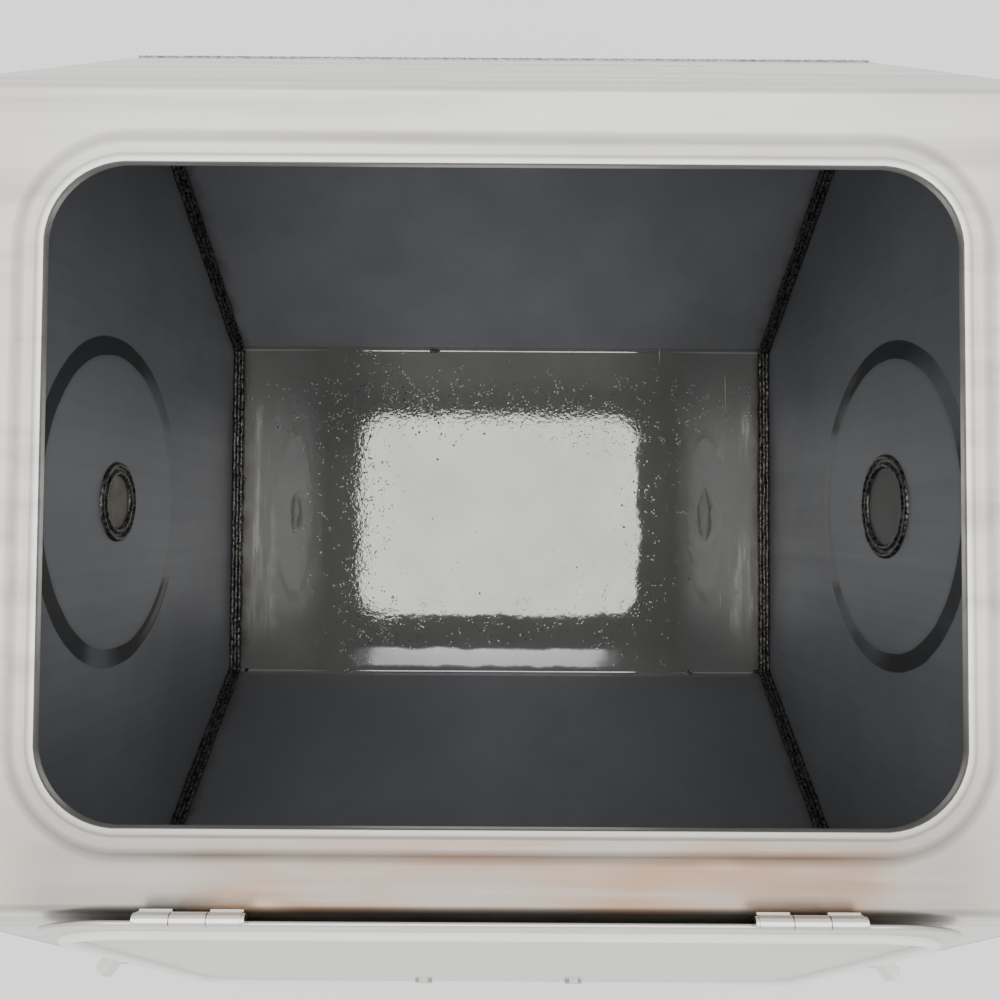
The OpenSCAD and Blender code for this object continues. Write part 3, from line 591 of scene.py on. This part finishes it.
def bead_tube(name, paths, radius, finish_name, body, lump=0.3, wander=0.0, replaces=()):
    """Uneven weld beads along closed or open paths, each point wandering a little from its line."""
    curve = bpy.data.curves.new(name + "_path", "CURVE")
    curve.dimensions = "3D"
    curve.bevel_depth = radius
    curve.bevel_resolution = 2
    curve.use_fill_caps = True
    for closed, corners in paths:
        ends = corners + corners[:1] if closed else corners
        points = []
        for a, b in zip(ends, ends[1:]):
            a, b = Vector(a), Vector(b)
            count = max(int((b - a).length / (radius * 0.8)), 1)
            points += [a.lerp(b, i / count) for i in range(count)]
        if not closed:
            points.append(Vector(corners[-1]))
        spline = curve.splines.new("POLY")
        spline.points.add(len(points) - 1)
        for point, at in zip(spline.points, points):
            point.co = (*(at + noise.noise_vector(at * 55.0) * wander), 1.0)
        spline.use_cyclic_u = closed
    guide = bpy.data.objects.new(name + "_guide", curve)
    bpy.context.scene.collection.objects.link(guide)
    mesh = bpy.data.meshes.new_from_object(guide.evaluated_get(bpy.context.evaluated_depsgraph_get()))
    bpy.data.objects.remove(guide)
    bpy.data.curves.remove(curve)
    bm = bmesh.new()
    bm.from_mesh(mesh)
    bpy.data.meshes.remove(mesh)
    bmesh.ops.remove_doubles(bm, verts=bm.verts, dist=1e-6)
    bmesh.ops.recalc_face_normals(bm, faces=bm.faces)
    lumpy(bm.verts, radius * lump, 0.9 / radius)
    piece(bm, name, [finish_name], body, replaces, BEAD_ANGLE)


def lumpy(verts, amount, scale):
    """Pushes each vertex along its normal by smooth noise."""
    for v in verts:
        v.co += v.normal * (noise.noise(v.co * scale) * amount)


def circle_path(x, radius, steps=72):
    """A circle about the trunnion axis at x."""
    angles = [2 * math.pi * i / steps for i in range(steps)]
    return (True, [(x, radius * math.cos(a), AXIS_Z + radius * math.sin(a)) for a in angles])


class MILKTANK_OT_hood(bpy.types.Operator):
    """Bend the upper sheet and press the land and lip round its opening"""
    bl_idname = "milktank.hood"
    bl_label = "Hood sheet"

    def execute(self, context):
        sizes = context.scene.milk_tank
        bm = bmesh.new()
        base, land, lip = TOP_Z, LAND_HIGH.z - TOP_Z, LIP_HIGH.z - TOP_Z
        outer = LAND_W + LIP_W
        hx, hy = LIP_HIGH.x - LIP_W, LIP_HIGH.y - LIP_W
        corner = sizes.mouth_radius
        # out from the opening and up from the panel: the rise, the land, the lip and its inner edge
        profile = [(outer + 0.004, 0.0), (outer + 0.0022, 0.0001), (outer + 0.0004, land * 0.2),
                   (outer - 0.001, land * 0.52), (outer - 0.0022, land * 0.83),
                   (outer - 0.0036, land * 0.96), (outer - 0.005, land), (LIP_W + 0.0012, land),
                   (LIP_W + 0.0004, land + (lip - land) * 0.25),
                   (LIP_W - 0.0003, land + (lip - land) * 0.8), (LIP_W - 0.001, lip), (0.001, lip),
                   (0.0003, lip - 0.0003), (0.0, lip - 0.001), (0.0, -0.0005)]
        loop = ring_surface(bm, hx, hy, corner, [(d, base + z) for d, z in profile])[0]
        radius = sizes.bend_radius
        slope = Vector((0.0, WAIST[0] - FOLD_Y, WAIST[1] - TOP_Z))
        bend = math.atan2(-slope.z, slope.y)
        setback = radius * math.tan(bend / 2)
        edge_y = FOLD_Y - setback
        loop, verts = next_loop(bm, loop)
        for v in verts:
            centre = corner_centre(v, hx - corner, hy - corner)
            way = v.co.xy - centre
            way /= max(abs(way.x), abs(way.y))
            v.co.xy = (centre.x + way.x * (END_X - abs(centre.x)),
                       centre.y + way.y * (edge_y - abs(centre.y)))
        run = slope * (1 - setback / slope.length)
        for side in (-1, 1):
            edges = [e for e in loop if all(abs(v.co.y - side * edge_y) < 1e-6 for v in e.verts)]
            fold(bm, edges, (0.0, side * edge_y, base - radius), -side * bend,
                 Vector((0.0, side * run.y, run.z)))
        face_up(bm, Vector((0.2, 0.17, base)))
        piece(bm, "hood_sheet", ["top_sheet", "inner_sheet", "top_sheet"], "vessel",
              ["upper_hood", "mouth_land", "mouth_lip"], thickness=TOP_Z - TOP_IN_Z)
        return {"FINISHED"}


class MILKTANK_OT_trough(bpy.types.Operator):
    """Bend the lower sheet: floor and two sloping walls"""
    bl_idname = "milktank.trough"
    bl_label = "Trough sheet"

    def execute(self, context):
        radius = context.scene.milk_tank.bend_radius
        thickness = FLOOR_Z - TROUGH[0][1]
        inner = radius - thickness
        slope = Vector((0.0, WAIST_IN[0] - FLOOR_Y, WAIST_IN[1] - FLOOR_Z))
        bend = math.atan2(slope.z, slope.y)
        setback = inner * math.tan(bend / 2)
        edge_y = FLOOR_Y - setback
        bm = bmesh.new()
        quarters = ((-1, -1), (1, -1), (1, 1), (-1, 1))
        corners = [bm.verts.new((x * END_X, y * edge_y, FLOOR_Z)) for x, y in quarters]
        bm.faces.new(corners)
        run = slope * (1 - setback / slope.length)
        for side, i in ((1, 2), (-1, 0)):
            edge = bm.edges.get((corners[i], corners[(i + 1) % 4]))
            fold(bm, [edge], (0.0, side * edge_y, FLOOR_Z + inner), side * bend,
                 Vector((0.0, side * run.y, run.z)))
        face_up(bm, Vector((0.0, 0.0, FLOOR_Z)))
        bmesh.ops.reverse_faces(bm, faces=bm.faces)
        piece(bm, "trough_sheet", ["wet_floor", "outer_sheet", "outer_sheet"], "vessel",
              ["lower_trough"], thickness=thickness)
        return {"FINISHED"}


class MILKTANK_OT_corner_welds(bpy.types.Operator):
    """Run an uneven double bead round the inside of each end plate"""
    bl_idname = "milktank.corner_welds"
    bl_label = "Corner welds"

    def execute(self, context):
        lump = context.scene.milk_tank.bead_lump
        leg = END_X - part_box("corner_weld_right")[0].x
        inside = [(FLOOR_Y, FLOOR_Z), WAIST_IN, (TOP_IN_Y, TOP_IN_Z)]
        inside += [(-y, z) for y, z in reversed(inside)]
        runs = ((0.3, 0.95), (0.5, 0.55), (0.95, 0.25))     # off the sheet and off the plate, in weld legs
        for name, side in SIDES:
            paths = []
            for off_shell, off_plate in runs:
                x = side * (END_X - off_plate * leg)
                paths.append((True, [(x, y, z) for y, z in inset(inside, off_shell * leg)]))
            bead_tube("corner_bead_" + name, paths, leg * 0.28, "black_weld", "vessel",
                      0.5, lump, ["corner_weld_" + name])
        return {"FINISHED"}


class MILKTANK_OT_port_welds(bpy.types.Operator):
    """Run two rough rings of weld round each spigot"""
    bl_idname = "milktank.port_welds"
    bl_label = "Spigot welds"

    def execute(self, context):
        lump = context.scene.milk_tank.bead_lump
        # two crowns and the groove between them: millimetres out from the spigot and up from the plate
        section = ((-1.0, -0.1), (-0.9, 0.7), (0.2, 1.7), (1.6, 1.9), (2.6, 1.0), (3.6, 0.5), (4.6, 1.1),
                   (5.6, 1.9), (6.8, 1.8), (7.8, 0.8), (8.0, -0.1))
        for name, side in SIDES:
            bm = bmesh.new()
            points = [bm.verts.new((side * (END_X - up / 1000), 0.0, AXIS_Z + SPIGOT_R[side] + out / 1000))
                      for out, up in section]
            edges = [bm.edges.new((points[i], points[(i + 1) % len(points)])) for i in range(len(points))]
            bmesh.ops.spin(bm, geom=points + edges, cent=(0.0, 0.0, AXIS_Z), axis=(1.0, 0.0, 0.0),
                           angle=2 * math.pi, steps=132, use_merge=True)
            bmesh.ops.remove_doubles(bm, verts=bm.verts, dist=1e-6)
            bmesh.ops.recalc_face_normals(bm, faces=bm.faces)
            bm.normal_update()
            for v in bm.verts:
                if side * v.co.x < END_X - 0.0004:
                    wander = noise.noise(v.co * 75.0 + Vector((side * 7.0, 0.0, 0.0))) * lump
                    v.co += v.normal * (noise.noise(v.co * 480.0) * lump * 0.45 + wander * 0.7)
            piece(bm, "spigot_bead_" + name, ["black_weld"], "vessel", ["port_weld_" + name],
                  BEAD_ANGLE)
        return {"FINISHED"}


class MILKTANK_OT_seams(bpy.types.Operator):
    """Weld the outside seams of the vessel and the joints of the stand"""
    bl_idname = "milktank.seams"
    bl_label = "Outside seams"

    def execute(self, context):
        seams = [(False, [(x, s * WAIST[0], WAIST[1]) for x in (-END_X, END_X)]) for s in (-1, 1)]
        bead_tube("side_seams", seams, 0.0014, "grey_weld", "vessel", 0.5)
        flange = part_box("trunnion_flange_right")
        hub_x = flange[1].x
        journal = max(v.co.z for v in NODES["trunnion_flange_right"].data.vertices
                      if (v.co.yz - Vector((0.0, AXIS_Z))).length < 0.025) - AXIS_Z
        rings = [circle_path(s * (PLATE_X + 0.0004), flange[1].y) for s in (-1, 1)]
        rings += [circle_path(s * hub_x, journal) for s in (-1, 1)]
        bead_tube("flange_seams", rings, 0.0022, "grey_weld", "vessel", 0.4)
        joints = []
        for name in LEGS:
            low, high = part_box(name)
            for z in (low.z, high.z):
                level = [v.co for v in NODES[name].data.vertices if abs(v.co.z - z) < SAME_PLACE]
                y0, y1 = min(c.y for c in level), max(c.y for c in level)
                joints.append((True, [(low.x, y0, z), (high.x, y0, z), (high.x, y1, z), (low.x, y1, z)]))
        for name in ("side_rail_left", "side_rail_right"):
            low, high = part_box(name)
            reach = {z: max(v.co.y for v in NODES[name].data.vertices if abs(v.co.z - z) < SAME_PLACE)
                     for z in (low.z, high.z)}
            for s in (-1, 1):
                y0, y1 = s * reach[low.z], s * reach[high.z]
                joints.append((True, [(low.x, y0, low.z), (high.x, y0, low.z), (high.x, y1, high.z),
                                      (low.x, y1, high.z)]))
        for name in ("cross_rail_front", "cross_rail_back"):
            low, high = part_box(name)
            for x in (low.x, high.x):
                joints.append((True, [(x, low.y, low.z), (x, high.y, low.z), (x, high.y, high.z),
                                      (x, low.y, high.z)]))
        bead_tube("stand_seams", joints, 0.0026, "grey_weld", "stand", 0.45)
        return {"FINISHED"}


class MILKTANK_OT_gasket(bpy.types.Operator):
    """Mould the rounded gasket under the lid"""
    bl_idname = "milktank.gasket"
    bl_label = "Lid gasket"

    def execute(self, context):
        hinge = next(j for j in frame["joints"] if j["name"] == "lid_hinge")
        pin = Matrix.Translation(Vector(hinge["pos_m"]))
        shut = pin @ Matrix.Rotation(math.radians(min(hinge["range_deg"])), 4, "X") @ pin.inverted()
        spots = [shut @ v.co for v in NODES["lid_gasket"].data.vertices]
        hx, hy = max(p.x for p in spots), max(p.y for p in spots)
        foot = min(p.z for p in spots)
        high = max(p.z for p in spots) - foot
        corner = context.scene.milk_tank.mouth_radius + hx - (LIP_HIGH.x - LIP_W)
        width = hx - min(p.x for p in spots if p.x > 0 and abs(p.y) < hy - corner + 0.001)
        # two soft ridges, in widths and heights of the gasket
        section = ((0.0, 1.0), (0.0, 0.55), (-0.06, 0.32), (-0.16, 0.12), (-0.3, 0.0), (-0.42, 0.12),
                   (-0.5, 0.2), (-0.58, 0.12), (-0.7, 0.0), (-0.84, 0.12), (-0.94, 0.32), (-1.0, 0.55),
                   (-1.0, 1.0))
        bm = bmesh.new()
        profile = [(d * width, foot + up * high) for d, up in section]
        first, last = ring_surface(bm, hx, hy, corner, profile)
        bmesh.ops.bridge_loops(bm, edges=first + last)
        bmesh.ops.transform(bm, matrix=shut.inverted(), verts=bm.verts)
        bmesh.ops.recalc_face_normals(bm, faces=bm.faces)
        piece(bm, "moulded_gasket", ["white_gasket"], "lid", ["lid_gasket"])
        return {"FINISHED"}


class MILKTANK_OT_water(bpy.types.Operator):
    """Leave drops of water on the floor, and beads of spatter by its welds"""
    bl_idname = "milktank.water"
    bl_label = "Water and spatter"

    def execute(self, context):
        draw = random.Random(11)
        # clusters of drops: share of them all, middle, and spread each way
        spread = ((0.34, (-0.118, 0.092), (0.045, 0.012)), (0.16, (-0.124, 0.03), (0.006, 0.05)),
                  (0.18, (0.04, 0.096), (0.07, 0.01)), (0.10, (0.122, 0.03), (0.006, 0.05)),
                  (0.12, (-0.04, -0.116), (0.09, 0.006)), (0.10, (0.0, 0.0), (0.1, 0.07)))
        smallest, growth = 0.00035, 0.0009
        bm = bmesh.new()
        for _ in range(context.scene.milk_tank.drops):
            pick = draw.random()
            for share, middle, wide in spread:
                pick -= share
                if pick < 0:
                    break
            x, y = draw.gauss(middle[0], wide[0]), draw.gauss(middle[1], wide[1])
            size = smallest + growth * draw.random() ** 3
            tall, turn = draw.uniform(0.3, 0.55), draw.uniform(0.0, math.pi)
            if abs(x) > END_X - 0.012 or abs(y) > FLOOR_Y - 0.008:
                continue
            shape = Matrix.Diagonal((size, size * draw.uniform(0.7, 1.0), size * tall, 1.0))
            place = Matrix.Translation((x, y, FLOOR_Z + 0.00002))
            matrix = place @ Matrix.Rotation(turn, 4, "Z") @ shape
            bmesh.ops.create_icosphere(bm, subdivisions=2, radius=1.0, matrix=matrix)
        piece(bm, "water_drops", ["water"], "vessel", (), BEAD_ANGLE)
        # burnt specks of weld by the folds and the ends: place and size
        spatter = ((-0.064, 0.1503, 0.0026), (-0.0605, 0.1506, 0.0018), (0.177, -0.1495, 0.0022),
                   (-0.241, 0.028, 0.0018), (-0.236, -0.15, 0.0016), (0.2385, -0.149, 0.002))
        bm = bmesh.new()
        for x, y, size in spatter:
            shape = Matrix.Diagonal((size * 1.3, size, size * 0.6, 1.0))
            matrix = Matrix.Translation((x, y, FLOOR_Z + size * 0.3)) @ shape
            bmesh.ops.create_icosphere(bm, subdivisions=3, radius=1.0, matrix=matrix)
        bm.normal_update()
        lumpy(bm.verts, 0.0006, 500.0)
        piece(bm, "weld_spatter", ["black_weld"], "vessel", (), BEAD_ANGLE)
        return {"FINISHED"}


class MILKTANK_OT_broken_edges(bpy.types.Operator):
    """Round the tubes of the stand and break the edges of plates, levers and castings"""
    bl_idname = "milktank.broken_edges"
    bl_label = "Broken edges"

    def execute(self, context):
        for node in LEGS:
            rounded_tube(node, "stand_tube", 0)
        for node in ("side_rail_left", "side_rail_right"):
            rounded_tube(node, "side_tube", 0)
        for node in ("cross_rail_front", "cross_rail_back"):
            rounded_tube(node, "rail_tube", 2)
        for node, finish_name, width in SOFTENED:
            soften(node, finish_name, width)
        return {"FINISHED"}


class MILKTANK_OT_finishes(bpy.types.Operator):
    """Give every carried-over part its finish"""
    bl_idname = "milktank.finishes"
    bl_label = "Finishes"

    def execute(self, context):
        special = {"end_plate_left": "end_sheet", "end_plate_right": "end_sheet",
                   "lid_panel": "outer_sheet",
                   "trunnion_shaft_left": "shaft_steel", "trunnion_shaft_right": "shaft_steel"}
        by_slot = {"vessel_steel": "outer_sheet", "weld_bead": "black_weld"}
        for node, row in SUBPARTS.items():
            mesh = NODES[node].data
            mesh.materials.clear()
            slot = row["material_slot"]
            mesh.materials.append(finish(special.get(node) or by_slot.get(slot, slot)))
        return {"FINISHED"}


class MILKTANK_OT_stage(bpy.types.Operator):
    """Lay the floor, hang the lights and place the camera"""
    bl_idname = "milktank.stage"
    bl_label = "Stage"

    def execute(self, context):
        sizes = context.scene.milk_tank
        bm = bmesh.new()
        bmesh.ops.create_grid(bm, x_segments=1, y_segments=1, size=8.0)
        mesh = bpy.data.meshes.new("floor")
        bm.to_mesh(mesh)
        bm.free()
        ground = bpy.data.objects.new("floor", mesh)
        context.scene.collection.objects.link(ground)
        mesh.materials.append(plain("pale_floor", linear(250, 250, 250), 0.8, 0.0, 40.0, 0.02, 0.98))
        world = bpy.data.worlds.new("studio")
        world.use_nodes = True
        backdrop = world.node_tree.nodes["Background"]
        backdrop.inputs["Color"].default_value = (1.0, 1.0, 1.0, 1.0)
        backdrop.inputs["Strength"].default_value = 1.3
        context.scene.world = world
        lamp = bpy.data.lights.new("overhead", "AREA")
        lamp.shape = "RECTANGLE"
        lamp.size = 3.0
        lamp.size_y = 3.0
        lamp.energy = 60.0
        hung = bpy.data.objects.new("overhead", lamp)
        hung.location = (0.0, 0.0, AXIS_Z + 2.6)
        context.scene.collection.objects.link(hung)
        camera = bpy.data.cameras.new("camera")
        camera.lens = sizes.camera_lens
        camera.sensor_width = 36.0
        placed = bpy.data.objects.new("camera", camera)
        # looking straight down, but for the small tilt and drift of a hand
        spin, lean, nod = (Matrix.Rotation(angle, 4, axis) for angle, axis in
                           ((-0.006, "Z"), (0.001, "Y"), (-0.029, "X")))
        place = Matrix.Translation((-0.0015, -0.01375, AXIS_Z + sizes.camera_height))
        placed.matrix_world = place @ (spin @ lean @ nod).transposed()
        context.scene.collection.objects.link(placed)
        context.scene.camera = placed
        return {"FINISHED"}


class MILKTANK_PT_panel(bpy.types.Panel):
    """Lists the steps that finish the tank"""
    bl_label = "Milk Tank"
    bl_idname = "MILKTANK_PT_panel"
    bl_space_type = "VIEW_3D"
    bl_region_type = "UI"
    bl_category = "Milk Tank"

    def draw(self, context):
        for size in TankSizes.__annotations__:
            self.layout.prop(context.scene.milk_tank, size)
        for step in STEPS:
            self.layout.operator(step.bl_idname)


STEPS = (MILKTANK_OT_finishes, MILKTANK_OT_hood, MILKTANK_OT_trough, MILKTANK_OT_corner_welds,
         MILKTANK_OT_port_welds, MILKTANK_OT_seams, MILKTANK_OT_gasket, MILKTANK_OT_water,
         MILKTANK_OT_broken_edges, MILKTANK_OT_stage)
CLASSES = (TankSizes,) + STEPS + (MILKTANK_PT_panel,)


def register():
    for item in CLASSES:
        bpy.utils.register_class(item)
    bpy.types.Scene.milk_tank = bpy.props.PointerProperty(type=TankSizes)


def unregister():
    del bpy.types.Scene.milk_tank
    for item in reversed(CLASSES):
        bpy.utils.unregister_class(item)


def main():
    register()
    bpy.ops.milktank.finishes()
    bpy.ops.milktank.hood()
    bpy.ops.milktank.trough()
    bpy.ops.milktank.corner_welds()
    bpy.ops.milktank.port_welds()
    bpy.ops.milktank.seams()
    bpy.ops.milktank.gasket()
    bpy.ops.milktank.water()
    bpy.ops.milktank.broken_edges()
    bpy.ops.milktank.stage()


if __name__ == "__main__":
    main()
